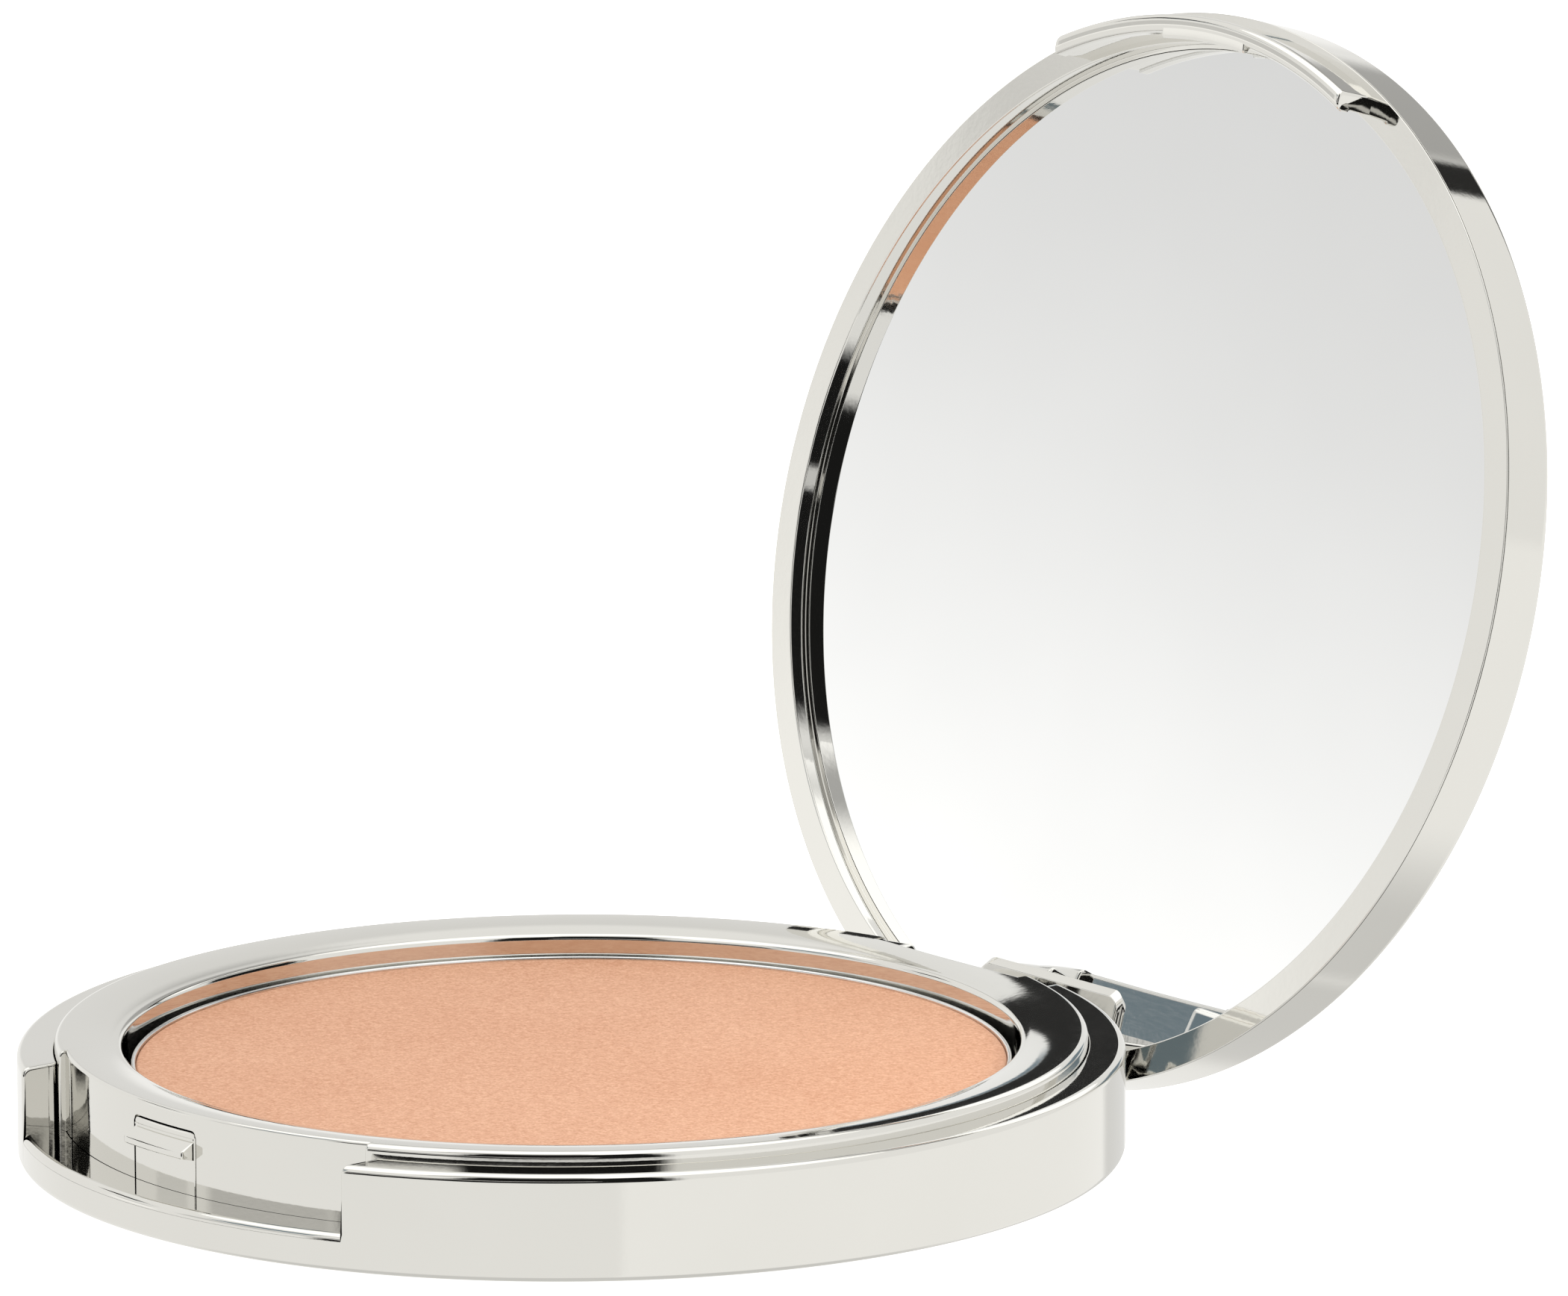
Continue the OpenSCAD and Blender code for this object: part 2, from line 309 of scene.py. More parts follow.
def opened(verts):
    """Points of the shut lid, swung open about the hinge."""
    c, s = math.cos(OPEN), math.sin(OPEN)
    out = []
    for x, y, z in verts:
        dy, dz = y - HINGE_Y, z - HINGE_Z
        out.append((x, HINGE_Y + dy * c + dz * s, HINGE_Z - dy * s + dz * c))
    return out


def plane_angle(x, r):
    """The angle from the front at which a circle of radius r meets the plane at x."""
    return math.asin(max(-1.0, min(1.0, x / r))) if r > abs(x) else math.copysign(HALF_TURN / 2, x)


def sector(profile, half_x, bevel, count=64):
    """A closed profile swept across the front, from -half_x to half_x, with rounded ends."""
    stations = end_steps(bevel)
    columns = []
    for s, i in stations:
        columns.append([ring_point(r, z, plane_angle(s - half_x, r)) for r, z in inset(profile, i)])
    for k in range(1, count):
        u = -1 + 2 * k / count
        columns.append([ring_point(r, z, plane_angle(u * (half_x - bevel), r)) for r, z in profile])
    for s, i in reversed(stations):
        columns.append([ring_point(r, z, plane_angle(half_x - s, r)) for r, z in inset(profile, i)])
    return grid(columns, False, True)


# ---------------------------------------------------------------- materials


def add_node(tree, kind, inputs=None, **values):
    """Adds a node to a tree. An input is given as a value, or as the socket that feeds it."""
    made = tree.nodes.new(kind)
    for key, value in values.items():
        setattr(made, key, value)
    for key, value in (inputs or {}).items():
        if isinstance(value, bpy.types.NodeSocket):
            tree.links.new(value, made.inputs[key])
        else:
            made.inputs[key].default_value = value
    return made


class Nodes:
    """A short way to write a material's nodes."""

    def __init__(self, name):
        self.material = bpy.data.materials.new(name)
        self.material.use_nodes = True
        self.tree = self.material.node_tree
        self.shader = self.tree.nodes["Principled BSDF"]

    def add(self, kind, inputs=None, **values):
        return add_node(self.tree, kind, inputs, **values)

    def set(self, **values):
        for key, value in values.items():
            socket = self.shader.inputs[key.replace("_", " ")]
            if isinstance(value, bpy.types.NodeSocket):
                self.tree.links.new(value, socket)
            else:
                socket.default_value = value

    def noise(self, scale, detail=2.0, stretch=None):
        where = self.add("ShaderNodeTexCoord").outputs["Object"]
        if stretch:
            where = self.add("ShaderNodeMapping", {"Vector": where, "Scale": stretch}).outputs["Vector"]
        return self.add("ShaderNodeTexNoise", {"Vector": where, "Scale": scale, "Detail": detail})

    def ramp(self, factor, low, high, colours=None):
        made = self.add("ShaderNodeValToRGB", {"Fac": factor})
        made.color_ramp.elements[0].position, made.color_ramp.elements[1].position = low, high
        if colours:
            made.color_ramp.elements[0].color, made.color_ramp.elements[1].color = colours
        return made

    def span(self, factor, low, high):
        made = self.add("ShaderNodeMapRange", {"Value": factor, "To Min": low, "To Max": high})
        return made.outputs["Result"]


CHROME = (0.74, 0.73, 0.695, 1)


def chrome(name):
    """Polished plating: a warm silver with a faint bloom, scuffs and a trace of moulding ripple."""
    n = Nodes(name)
    bloom = n.noise(90, 3).outputs["Fac"]
    tint = n.ramp(bloom, 0.3, 0.75, ((0.725, 0.715, 0.68, 1), CHROME))
    scuffs = n.noise(900, 4, (1, 1, 9)).outputs["Fac"]
    rough = n.span(scuffs, 0.02, 0.075)
    ripple = n.noise(260, 2).outputs["Fac"]
    wave = n.add("ShaderNodeBump", {"Height": ripple, "Strength": 0.012, "Distance": 0.0004})
    comb = n.noise(2600, 1).outputs["Fac"]
    bump = n.add("ShaderNodeBump", {"Height": comb, "Strength": 0.03, "Distance": 0.00004,
                                    "Normal": wave.outputs["Normal"]})
    n.set(Base_Color=tint.outputs["Color"], Metallic=1.0, Roughness=rough, Normal=bump.outputs["Normal"])
    return n.material


def powder_material():
    """Pressed powder: an even grain of paler and deeper specks with a faint pearl, over softer mottling."""
    n = Nodes("powder")
    mottle = n.noise(55, 2).outputs["Fac"]
    grain = n.noise(6200, 1).outputs["Fac"]
    fine = n.noise(2600, 2).outputs["Fac"]
    both = n.add("ShaderNodeMath", {0: grain, 1: fine}, operation="ADD").outputs[0]
    both = n.add("ShaderNodeMath", {0: mottle, 1: 0.3, 2: both}, operation="MULTIPLY_ADD").outputs[0]
    spread = n.add("ShaderNodeMath", {0: both, 1: 2.3}, operation="DIVIDE").outputs[0]
    tone = n.ramp(spread, 0.34, 0.66, ((0.63, 0.275, 0.14, 1), (0.87, 0.505, 0.325, 1)))
    bump = n.add("ShaderNodeBump", {"Height": grain, "Strength": 0.1, "Distance": 0.00004})
    n.set(Base_Color=tone.outputs["Color"], Roughness=n.span(fine, 0.45, 0.6),
          Normal=bump.outputs["Normal"])
    n.shader.inputs["Specular IOR Level"].default_value = 0.45
    return n.material


def plain(name, low, high, rough, metallic=0.0):
    """A simple finish whose colour and roughness still vary over the surface."""
    n = Nodes(name)
    spread = n.noise(400, 3).outputs["Fac"]
    tone = n.ramp(spread, 0.3, 0.7, (low, high))
    bump = n.add("ShaderNodeBump", {"Height": spread, "Strength": 0.2, "Distance": 0.00002})
    n.set(Base_Color=tone.outputs["Color"], Metallic=metallic,
          Roughness=n.span(spread, rough * 0.85, rough * 1.15), Normal=bump.outputs["Normal"])
    return n.material


base_chrome = chrome("base_chrome")
tray_chrome = chrome("tray_chrome")
lid_chrome = chrome("lid_chrome")
frame_chrome = chrome("frame_chrome")
powder = powder_material()
aluminium = plain("pan_aluminium", (0.74, 0.74, 0.73, 1), (0.82, 0.82, 0.81, 1), 0.22, 1.0)
pin_steel = plain("pin_steel", (0.5, 0.5, 0.5, 1), (0.6, 0.6, 0.6, 1), 0.25, 1.0)
glue = plain("glue", (0.70, 0.64, 0.45, 1), (0.78, 0.73, 0.55, 1), 0.4)
label_paper = plain("label", (0.86, 0.85, 0.82, 1), (0.92, 0.91, 0.88, 1), 0.45)
tape = plain("tape", (0.66, 0.63, 0.54, 1), (0.72, 0.69, 0.60, 1), 0.6)


def mirror_material():
    """Silvered glass, with the faintest unevenness."""
    n = Nodes("mirror")
    haze = n.noise(60, 2).outputs["Fac"]
    tone = n.ramp(haze, 0.3, 0.7, ((0.93, 0.935, 0.94, 1), (0.95, 0.955, 0.96, 1)))
    n.set(Base_Color=tone.outputs["Color"], Metallic=1.0, Roughness=n.span(haze, 0.0, 0.012))
    return n.material


silvered = mirror_material()

# ---------------------------------------------------------------- base shell


def shell_profile(cut):
    """The base shell's section, in three stretches: below the shelf, the wall and the floor's inside.

    cut moves the wall's faces inwards, which rounds the wall's ends.
    """
    recess = [(0, LABEL_T), (LABEL_R + PLAY, LABEL_T), (LABEL_R + PLAY, 0)]
    edge = rounded([(LABEL_R + 0.1, 0), (CASE_R, 0, EDGE), (CASE_R, SHELF_Z - EDGE)])[1:]
    wall = rounded([(CASE_R - cut, SHELF_Z), (CASE_R - cut, BASE_H - cut, EDGE),
                    (SHELL_IN_R + cut, BASE_H - cut, 0.1), (SHELL_IN_R + cut, SHELF_Z)])
    return join([recess, edge]), wall, [(SHELL_IN_R, FLOOR_T), (0, FLOOR_T)]


WALL_POINTS = len(shell_profile(0)[1])


def shelf_profile(in_r, z):
    """The section where the wall is cut down to z, from in_r out."""
    lower = shell_profile(0)[0]
    edge = min(EDGE, z * 0.6)
    top = [(r, min(h, z - edge)) for r, h in lower]
    line = rounded([(CASE_R, z - edge - 0.03), (CASE_R, z, edge), (in_r, z)])
    return join([top, padded(line, WALL_POINTS), [(in_r, FLOOR_T), (0, FLOOR_T)]])


def build_base_shell():
    columns = []
    # thumb notch
    notch = shelf_profile(NOTCH_R + PLAY, SHELF_Z)
    for u in np.linspace(-1, 1, 97):
        columns.append([ring_point(r, z, u * plane_angle(NOTCH_X, max(r, NOTCH_X + 0.01)))
                        for r, z in notch])
    right = wall_columns()
    columns += right
    # hinge recess
    spread = plane_angle(RECESS_X, CASE_R)
    for u in np.linspace(-1, 1, 49):
        in_r = RECESS_Y / math.cos(u * spread)
        columns.append([ring_point(r, z, HALF_TURN + u * plane_angle(RECESS_X, max(r, RECESS_X + 0.01)))
                        for r, z in shelf_profile(in_r, RECESS_WEB)])
    columns += mirrored(right)
    verts, faces = grid(columns, True, False)
    make_piece("base_shell_body", "base_shell", "base", verts, faces, base_chrome)


def wall_columns():
    """The right half of the full wall, from the notch to the hinge recess, with both ends rounded."""
    bevel = 0.22
    columns = []

    def at(x_front, x_back, u, cut):
        column = []
        for r, z in join(shell_profile(cut)):
            a = plane_angle(x_front, max(r, NOTCH_X + bevel + 0.01))
            b = HALF_TURN - plane_angle(x_back, max(r, RECESS_X + bevel + 0.01))
            column.append(ring_point(r, z, a + (b - a) * u))
        return column

    for s, i in end_steps(bevel):
        columns.append(at(NOTCH_X + s, RECESS_X + bevel, 0, i))
    for u in np.linspace(0, 1, 191)[1:-1]:
        columns.append(at(NOTCH_X + bevel, RECESS_X + bevel, u, 0))
    for s, i in reversed(end_steps(bevel)):
        columns.append(at(NOTCH_X + bevel, RECESS_X + s, 1, i))
    return columns


build_base_shell()

# ---------------------------------------------------------------- inner tray


def collar_top(out_r, fillet):
    """The collar's bulging top, from the well's lip out to where its outer edge rounds over."""
    inner, outer = WELL_R + LIP_ROUND, TRAY_R - COLLAR_ROUND
    points = []
    for r in np.linspace(inner, out_r - fillet, 13):
        t = (r - inner) / (outer - inner)
        points.append((r, LIP_Z + t * (COLLAR_Z - LIP_Z) + 4 * COLLAR_CROWN * t * (1 - t)))
    return points


def tray_profile(out_r, fillet, window_r=None, window_top=None):
    """The tray's section out to out_r. A window pushes the outer wall in to window_r."""
    well = rounded([(0, WELL_Z), (WELL_R, WELL_Z, 0.3), (WELL_R, LIP_Z, LIP_ROUND),
                    (WELL_R + LIP_ROUND + 0.05, LIP_Z)], support=0.0)[:-1]
    crown = collar_top(out_r, fillet)
    draft = STEP_DRAFT if out_r > NOTCH_R + 0.3 else 0.0
    edge = rounded([crown[-1], (out_r - draft, crown[-1][1] + 0.01, fillet), (out_r, BASE_H - 0.03),
                    (out_r, BASE_H / 2)])[2:-1]
    high = window_top or TONGUE_HIGH + SLIT
    low = TONGUE_LOW - SLIT / 2
    window = window_r or out_r
    wall = [(out_r, high), (window, high), (window, low), (out_r, low), (out_r, TRAY_LOW), (0, TRAY_LOW)]
    return join([well, crown, edge, wall])


def build_inner_tray():
    columns = []
    bevel = 0.25

    def at(x, out_r, fillet, **window):
        return [ring_point(r, z, plane_angle(x, max(r, x + 0.01)) if r > 1e-6 else 0)
                for r, z in tray_profile(out_r, fillet, **window)]

    def at_back(x, out_r, fillet):
        return [ring_point(r, z, HALF_TURN - plane_angle(x, max(r, x + 0.01)))
                for r, z in tray_profile(out_r, fillet)]

    # one half: across the window, whose top corners are round
    for x in np.linspace(0, WINDOW_X, 25):
        over = max(0.0, x - (WINDOW_X - WINDOW_CORNER))
        drop = WINDOW_CORNER - math.sqrt(max(0.0, WINDOW_CORNER ** 2 - over ** 2))
        columns.append(at(x, NOTCH_R, STEP_ROUND, window_r=NOTCH_R - WINDOW_DEPTH,
                          window_top=TONGUE_HIGH + SLIT - drop))
    # to the notch's end
    for x in np.linspace(WINDOW_X, STEP_X, 41):
        columns.append(at(x, NOTCH_R, STEP_ROUND))
    for s, i in end_steps(bevel):
        columns.append(at(STEP_X + s, TRAY_R - i, COLLAR_ROUND - 0.6 * i))
    # round to the hinge recess
    profile = tray_profile(TRAY_R, COLLAR_ROUND)
    for u in np.linspace(0, 1, 201)[1:-1]:
        column = []
        for r, z in profile:
            start = plane_angle(STEP_X + bevel, max(r, STEP_X + bevel + 0.01))
            end = HALF_TURN - plane_angle(RECESS_X + bevel, max(r, RECESS_X + bevel + 0.01))
            column.append(ring_point(r, z, (1 - u) * start + u * end))
        columns.append(column)
    for s, i in reversed(end_steps(bevel)):
        columns.append(at_back(RECESS_X + s, TRAY_R - i, COLLAR_ROUND - 0.6 * i))
    # and across the recess
    for x in np.linspace(RECESS_X, 0, 25):
        columns.append(at_back(x, math.hypot(RECESS_Y, x), 0.3))
    verts, faces = grid(columns + mirrored(columns), True, False)
    make_piece("inner_tray_body", "inner_tray", "base", verts, faces, tray_chrome)


build_inner_tray()

# ---------------------------------------------------------------- catch tongue


def tongue_section(out, top, bar):
    """The tongue's section, whose face is moved in by out. The bar stands out by bar, up to 1 mm."""
    face = [(0, TONGUE_LOW), (0, BAR_LOW), (0.94 * bar, FACE_LOW - 0.06), (bar, FACE_LOW),
            (bar, FACE_HIGH), (0.94 * bar, FACE_HIGH + 0.08), (0.05 * bar, BAR_HIGH - 0.05), (0, BAR_HIGH),
            (0, BEAD_LOW), (0.08 * bar, BEAD_LOW + 0.04), (0.08 * bar, BEAD_HIGH - 0.04), (0, BEAD_HIGH)]
    section = [(NOTCH_R + stands - out, min(z, top - 0.1)) for stands, z in face]
    edge = [(NOTCH_R - out, top - 0.1), (NOTCH_R - out - 0.03, top - 0.03), (NOTCH_R - out - 0.1, top)]
    return section + edge + [(NOTCH_R - TONGUE_T, top), (NOTCH_R - TONGUE_T, TONGUE_LOW)]


def build_catch_tongue():
    """The tongue and its bar: one closed skin whose section follows the bar between its ends."""
    bar_bevel = 0.12
    stations = [(TONGUE_X - s, i, 0.0) for s, i in end_steps(0.08, 3)]
    stations.append((BAR_X + 0.001, 0.0, 0.0))
    stations += [(BAR_X - s, 0.0, 1 - i) for s, i in end_steps(bar_bevel, 3)]
    stations += [(x, 0.0, 1.0) for x in np.linspace(BAR_X - bar_bevel, 0, 15)[1:]]
    half = []
    for x, out, bar in stations:
        over = max(0.0, x - (TONGUE_X - TONGUE_CORNER))
        top = TONGUE_HIGH - TONGUE_CORNER + math.sqrt(max(0.0, TONGUE_CORNER ** 2 - over ** 2))
        half.append([ring_point(r, z, plane_angle(x, r)) for r, z in tongue_section(out, top, bar)])
    verts, faces = grid(half + mirrored(half[:-1]), False, True)
    make_piece("catch_tongue_body", "catch_tongue", "catch", verts, faces, tray_chrome, 30)


build_catch_tongue()

# ---------------------------------------------------------------- pan and powder


def build_pan():
    outline = rounded([(0, PAN_LOW), (PAN_R, PAN_LOW, 0.6), (PAN_R, PAN_TOP, PAN_T * 0.49),
                       (PAN_R - PAN_T, PAN_TOP, PAN_T * 0.49), (PAN_R - PAN_T, PAN_LOW + PAN_T, 0.4),
                       (0, PAN_LOW + PAN_T)], support=0.0)
    verts, faces = lathe(outline)
    make_piece("powder_pan_body", "powder_pan", "base", verts, faces, aluminium)


def build_powder():
    """The cake, with a softly crushed edge and a pressed surface that isn't quite flat."""
    edge_r = PAN_R - PAN_T - 0.02
    low, high = PAN_LOW + PAN_T, POWDER_TOP - 0.005
    rings = [*np.linspace(0, edge_r - 1.2, 60), *np.linspace(edge_r - 1.1, edge_r - 0.28, 8)]
    top = [(r, high) for r in rings]
    rim = rounded([(edge_r - 0.27, high), (edge_r, high, 0.2), (edge_r, low + 0.4), (edge_r - 0.4, low),
                   (0, low)])
    shape, faces = lathe(join([top, rim]), 360)
    verts = []
    for x, y, z in shape:
        uneven = crumb(x, y, math.hypot(x, y) / edge_r) if z > POWDER_TOP - 0.3 else 0.0
        verts.append((x, y, z + uneven))
    make_piece("pressed_powder_cake", "pressed_powder", "base", verts, faces, powder, 60)


def crumb(x, y, share):
    """Unevenness of up to about 0.02 mm at the cake's edge, and of a few thousandths within it."""
    broad = math.sin(1.7 * x + 0.6 * y) * math.sin(1.3 * y - 0.4 * x)
    wave = broad + 0.5 * math.sin(4.1 * x) * math.sin(3.7 * y)
    rough = 0.002 + 0.012 * max(0.0, share - 0.93) / 0.07
    return -rough * (1 + wave) / 2


build_pan()
build_powder()

# ---------------------------------------------------------------- lid


def build_lid_shell():
    seam = LAP_Z + LAP_GAP
    crown = [(r, LID_TOP + LID_CROWN * (1 - (r / CASE_R) ** 2)) for r in np.linspace(CASE_R - 1, 0, 40)]
    in_r = CASE_R - LID_WALL
    wall = [(in_r, SHELL_IN_Z), (in_r, seam + LID_WALL, 0.05), (CASE_R, seam, 0.02), (CASE_R, LID_TOP, 0.6)]
    verts, faces = lathe(rounded(wall + crown + [(0, SHELL_IN_Z)], steps=8))
    make_piece("lid_shell_body", "lid_shell", "lid", opened(verts), faces, lid_chrome)


def build_mirror_frame():
    out_r = CASE_R - LID_WALL - PLAY
    plate_top = PLATE_Z + PLATE_T
    verts, faces = lathe(rounded([
        (0, PLATE_Z), (GLASS_R + 0.05, PLATE_Z), (GLASS_R + 0.03, MIRROR_Z + 0.02, 0.01),
        (RIM_IN_R + UNDERCUT, MIRROR_Z - 0.03, 0.05), (RIM_IN_R, LID_Z, 0.1),
        (CASE_R, LID_Z + RIM_FALL, 0.06), (CASE_R, LAP_Z, 0.02), (out_r, LAP_Z + CASE_R - out_r, 0.05),
        (out_r, plate_top), (0, plate_top)]))
    make_piece("mirror_frame_ring", "mirror_frame", "lid", opened(verts), faces,
               frame_chrome)


def build_hinge_block():
    """The block between the mirror and the pin. In the CAD it's part of the mirror frame."""
    bevel = 0.25
    front, back = HINGE_Y - KNUCKLE_R, HINGE_Y + KNUCKLE_R
    low, high = MIRROR_Z - 0.5, MIRROR_Z + 0.06
    outline = rounded([
        (BLOCK_Y, high), (BLOCK_Y + 0.55, low, 0.15), (BLOCK_BEND_Y, low, 0.25),
        (front, HINGE_Z - KNUCKLE_R, KNUCKLE_R), (back, HINGE_Z - KNUCKLE_R, KNUCKLE_R),
        (back, HINGE_Z + 1.2, 0.5), (HINGE_Y + 0.9, HINGE_Z + 2.0, 0.5), (HINGE_Y + 0.9, high)],
        closed=True, support=0.0)
    stations = [(KNUCKLE_X - s, inset(outline, i)) for s, i in end_steps(bevel)]
    stations += [(x, outline) for x in np.linspace(KNUCKLE_X - bevel, 0, 41)[1:-1]]
    half = []
    for x, points in stations:
        over = max(0.0, x - (KNUCKLE_X - BLOCK_ROUND))
        fall = BLOCK_ROUND - math.sqrt(max(0.0, BLOCK_ROUND ** 2 - over ** 2))
        half.append([(x, y + fall * max(0.0, min(1.0, (BLOCK_FADE_Y - y) / 2)), z) for y, z in points])
    verts, faces = grid(half + mirrored(half), False, True)
    make_piece("hinge_block", None, "lid", opened(verts), faces, frame_chrome)


def build_thumb_tab():
    """The tab, and the rib on its inner face, which is a piece of its own."""
    face_r, rib_r, root_r = TAB_IN_R - TAB_STEP, TAB_IN_R - RIB_OUT, TAB_IN_R + RIB_ROOT
    tip = 0.5
    tab = rounded([(TAB_IN_R, LID_Z + TAB_SEAT), (TAB_IN_R, TAB_STEP_Z + 0.1, 0.08),
                   (face_r, TAB_STEP_Z, 0.05), (face_r, TAB_TIP_Z, tip), (TAB_OUT_R, TAB_TIP_Z, tip),
                   (TAB_OUT_R, LID_Z + TAB_SEAT)], closed=True, support=0.01)
    verts, faces = sector(tab, TAB_X, 0.2)
    make_piece("thumb_tab_body", "thumb_tab", "lid", opened(verts), faces, frame_chrome)
    rib = rounded([(root_r, RIB_LOW), (TAB_IN_R - 0.35, RIB_LOW + 0.08, 0.05), (rib_r, RIB_LOW + 0.2, 0.05),
                   (rib_r, RIB_HIGH - 0.19, 0.05), (TAB_IN_R - 0.3, RIB_HIGH - 0.03, 0.05),
                   (root_r, RIB_HIGH)], closed=True, support=0.0, steps=3)
    verts, faces = sector(rib, TONGUE_X + 1, 0.1, 24)
    make_piece("thumb_tab_hook", None, "lid", opened(verts), faces, frame_chrome)


def build_mirror():
    profile = rounded([(0, MIRROR_Z), (GLASS_R, MIRROR_Z, 0.08), (GLASS_R, MIRROR_Z + MIRROR_T, 0.05),
                       (0, MIRROR_Z + MIRROR_T)], steps=3)
    verts, faces = lathe(profile)
    make_piece("mirror_glass_disc", "mirror_glass", "lid", opened(verts), faces, silvered)


build_lid_shell()
build_mirror_frame()
build_hinge_block()
build_thumb_tab()
build_mirror()

# ---------------------------------------------------------------- small pieces


def build_pin():
    profile = rounded([(0, -PIN_X), (PIN_R, -PIN_X, 0.15), (PIN_R, PIN_X, 0.15), (0, PIN_X)])
    verts, faces = lathe(profile, 64)
    verts = [(z, HINGE_Y + x, HINGE_Z + y) for x, y, z in verts]
    make_piece("hinge_pin_rod", "hinge_pin", "base", verts, faces, pin_steel)


def build_label():
    profile = rounded([(0, 0.0), (LABEL_R, 0.0, 0.04), (LABEL_R, LABEL_T), (0, LABEL_T)], steps=3)
    verts, faces = lathe(profile, 240)
    make_piece("base_label_disc", "base_label", "base", verts, faces, label_paper)


build_pin()
build_label()

for node, slot, material in (("pan_glue_dots", "glue", glue), ("mirror_adhesive", "tape", tape)):
    thing = frame["nodes"][node]
    thing.data.materials.clear()
    thing.data.materials.append(material)

# ---------------------------------------------------------------- floor, light and surroundings

FLOOR_GLOW = 0.75


def build_floor():
    """A pale floor, close under the base's front edge and the lid's lowest edge, where the part rests."""
    front_y = -CASE_R + EDGE * 0.3
    _, lid_y, lid_z = opened([(0, CASE_R - 0.2, LID_TOP - 0.2)])[0]
    mesh = bpy.data.meshes.new("floor")
    size = 3.0
    corners = [(-size, -size, 0), (size, -size, 0), (size, size, 0), (-size, size, 0)]
    mesh.from_pydata(corners, [], [(0, 1, 2, 3)])
    n = Nodes("floor")
    soft = n.noise(3, 2).outputs["Fac"]
    tone = n.ramp(soft, 0.3, 0.7, ((0.93, 0.93, 0.925, 1), (0.95, 0.95, 0.945, 1)))
    n.set(Base_Color=tone.outputs["Color"], Roughness=0.9, Emission_Color=tone.outputs["Color"])
    n.shader.inputs["Emission Strength"].default_value = FLOOR_GLOW
    mesh.materials.append(n.material)
    floor = bpy.data.objects.new("floor", mesh)
    floor.rotation_euler = (math.atan2(lid_z - 0.12, lid_y - front_y), 0, 0)
    floor.location = (0, front_y * MM, -0.00005)
    bpy.context.scene.collection.objects.link(floor)
    floor.visible_glossy = False


# The room that the chrome mirrors. Each card has a name, its lowest and highest azimuth and their softness,
# its lowest and highest elevation and their softness, and its brightness or colour. Azimuth 0 is in front
# of the notch and 90 is at +X. A later card covers an earlier one.
CARDS = (
    ("sweep_right", 62, 181, 1.5, -90, 2, 1.5, 1.08),
    ("sweep_far", -181, -162, 1.5, -90, 2, 1.5, 1.08),
    ("sweep_back", -162, -138, 3, -90, 2, 3, 0.80),
    ("under_glow", -181, 181, 8, -90, -50, 8, 0.76),
    ("low_left", -38, -4, 2, 13, 24, 2, 0.66),
    ("mirror_glow", -57, -43, 2, -1, 9, 1.5, 1.17),
    ("mirror_fall", -56, -45, 1, 9.0, 14, 3.2, 0.70),
    ("camera_dark", -2, 62, 3, -4, 19, 2, 0.012),
    ("camera_column", 26, 73, 3, -7, 54, 2, 0.012),
    ("step_light", -6, 57, 1.5, 10.4, 13.8, 0.7, 0.72),
    ("top_flag", 8, 58, 4, 54, 70, 4, 0.03),
    ("left_flag", -76, -59.2, 0.5, 27.7, 33.7, 0.5, 0.03),
    ("blue_low", -62, -50, 1, 26.3, 27.7, 0.3, (0.21, 0.27, 0.31)),
    ("blue_card", -36, -8, 2, 29, 42, 2, (0.21, 0.27, 0.31)),
    ("back_soft", -138, -112, 4, 6, 34, 3, 0.84),
    ("back_grey", -164, -136, 3, 12, 50, 3, 0.47),
    ("back_flag", -172, -164, 1, 12, 60, 1, 0.03),
)
ROOM = (1.0, 0.995, 0.975)


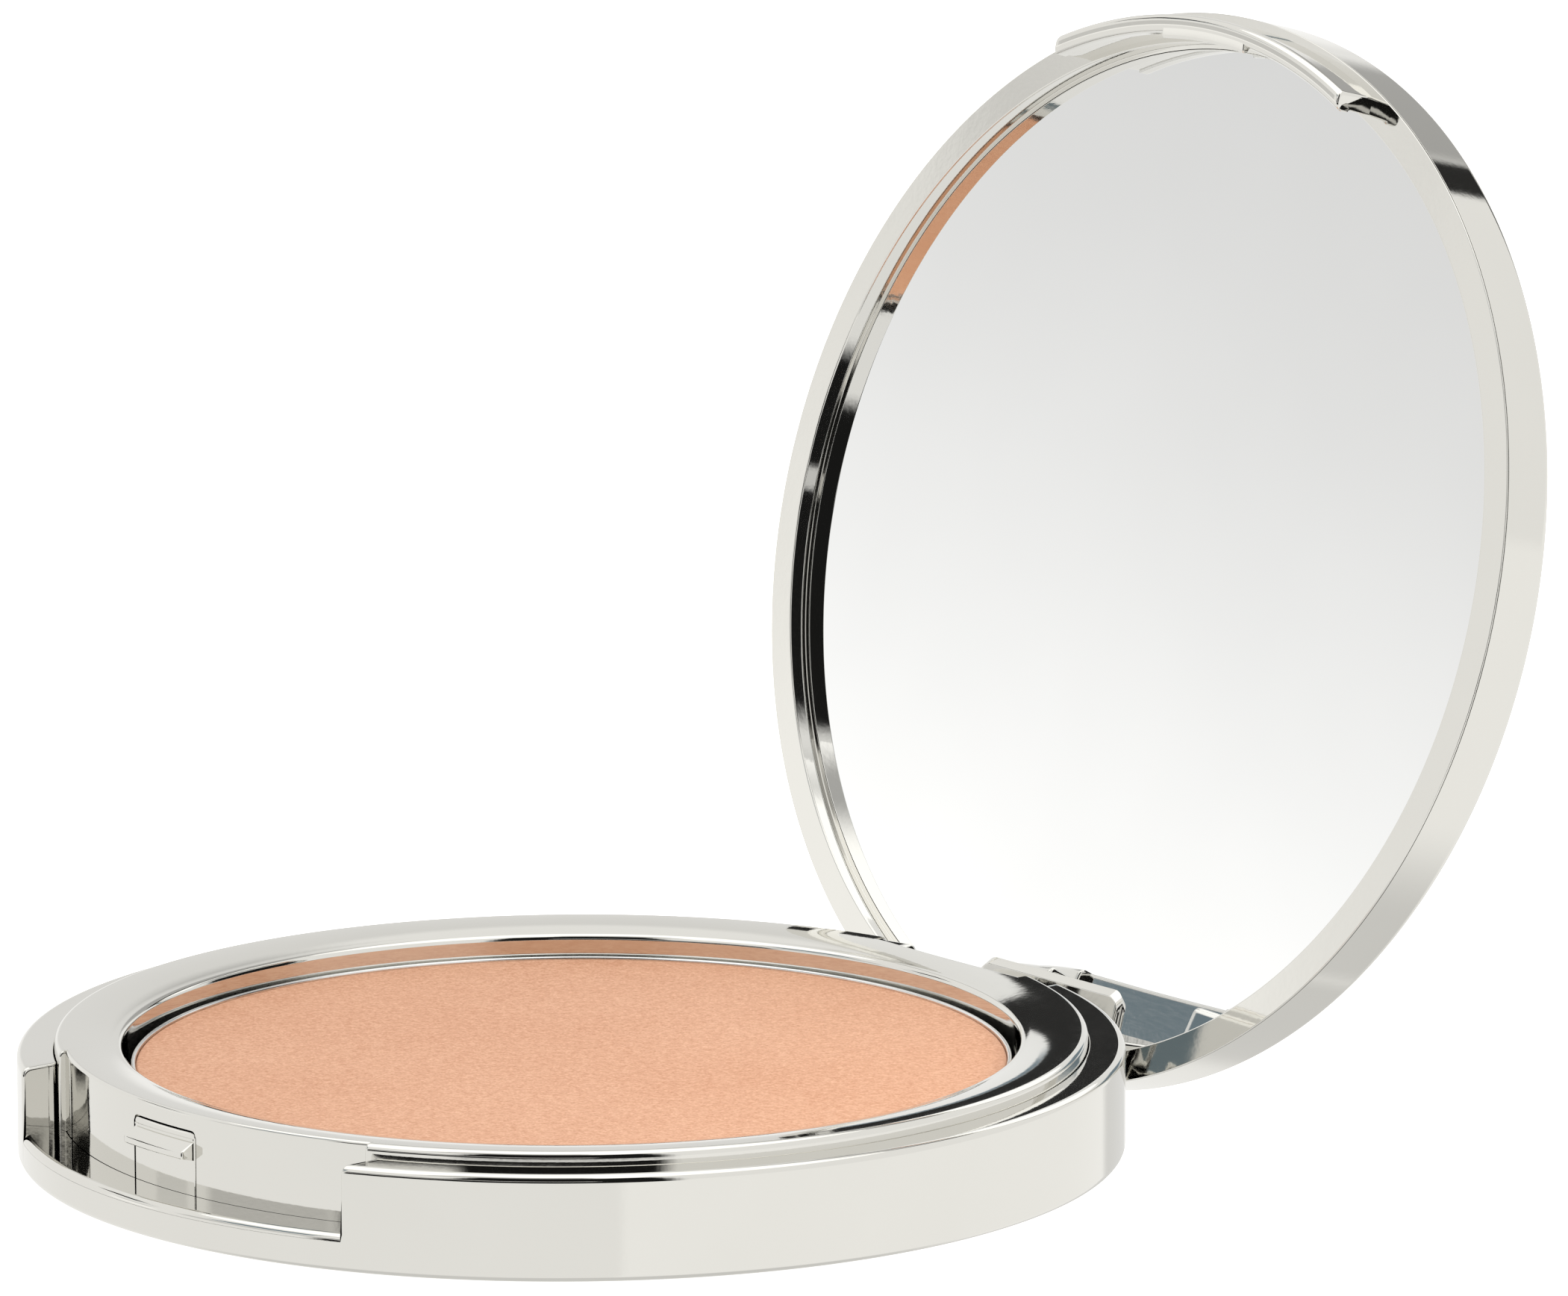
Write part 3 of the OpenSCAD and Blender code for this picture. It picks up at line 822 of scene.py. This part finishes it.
def build_world():
    """A white room with grey and black cards in it, all drawn by direction only."""
    world = bpy.data.worlds.new("studio")
    bpy.context.scene.world = world
    world.use_nodes = True
    tree = world.node_tree
    back = tree.nodes["Background"]

    def add(kind, inputs=None, **values):
        return add_node(tree, kind, inputs, **values)

    def calc(operation, a, b=0.0):
        return add("ShaderNodeMath", {0: a, 1: b}, operation=operation).outputs[0]

    def edge(value, at, soft):
        limits = {"Value": value, "From Min": at - soft, "From Max": at + soft}
        return add("ShaderNodeMapRange", limits, interpolation_type="SMOOTHSTEP").outputs["Result"]

    axes = add("ShaderNodeSeparateXYZ", {0: add("ShaderNodeTexCoord").outputs["Generated"]}).outputs
    to_degrees = 180 / math.pi
    azimuth = calc("MULTIPLY", calc("ARCTAN2", axes["X"], calc("MULTIPLY", axes["Y"], -1.0)), to_degrees)
    elevation = calc("MULTIPLY", calc("ARCSINE", axes["Z"]), to_degrees)
    colour = (*ROOM, 1)
    for _, az_low, az_high, az_soft, el_low, el_high, el_soft, value in CARDS:
        across = calc("SUBTRACT", edge(azimuth, az_low, az_soft), edge(azimuth, az_high, az_soft))
        up = calc("SUBTRACT", edge(elevation, el_low, el_soft), edge(elevation, el_high, el_soft))
        shade = value if isinstance(value, tuple) else [value * c for c in ROOM]
        mix = add("ShaderNodeMixRGB", {"Fac": calc("MULTIPLY", across, up), "Color1": colour,
                                       "Color2": (*shade, 1)})
        colour = mix.outputs["Color"]
    tree.links.new(colour, back.inputs["Color"])
    back.inputs["Strength"].default_value = 1.0


# (name, energy, size, place, the point that it's aimed at, whether the chrome mirrors it): a broad soft
# light overhead, which keeps the floor white, and a small soft fill at the powder's right
LIGHTS = (
    ("overhead", 3.2, 1.6, (-0.15, -0.05, 1.1), (-0.15, -0.05, 0), True),
    ("fill", 0.03, 0.04, (0.075, 0.045, 0.06), (0.016, 0.018, 0.006), False),
)


def build_lights():
    for name, energy, size, place, aim, mirrors in LIGHTS:
        data = bpy.data.lights.new(name, "AREA")
        data.shape, data.size = "DISK", size
        data.energy = energy
        data.color = ROOM
        light = bpy.data.objects.new(name, data)
        light.location = place
        light.rotation_euler = (Vector(aim) - Vector(place)).to_track_quat("-Z", "Y").to_euler()
        light.visible_glossy = mirrors
        bpy.context.scene.collection.objects.link(light)


build_floor()
build_world()
build_lights()
bpy.context.scene.view_settings.view_transform = "Standard"
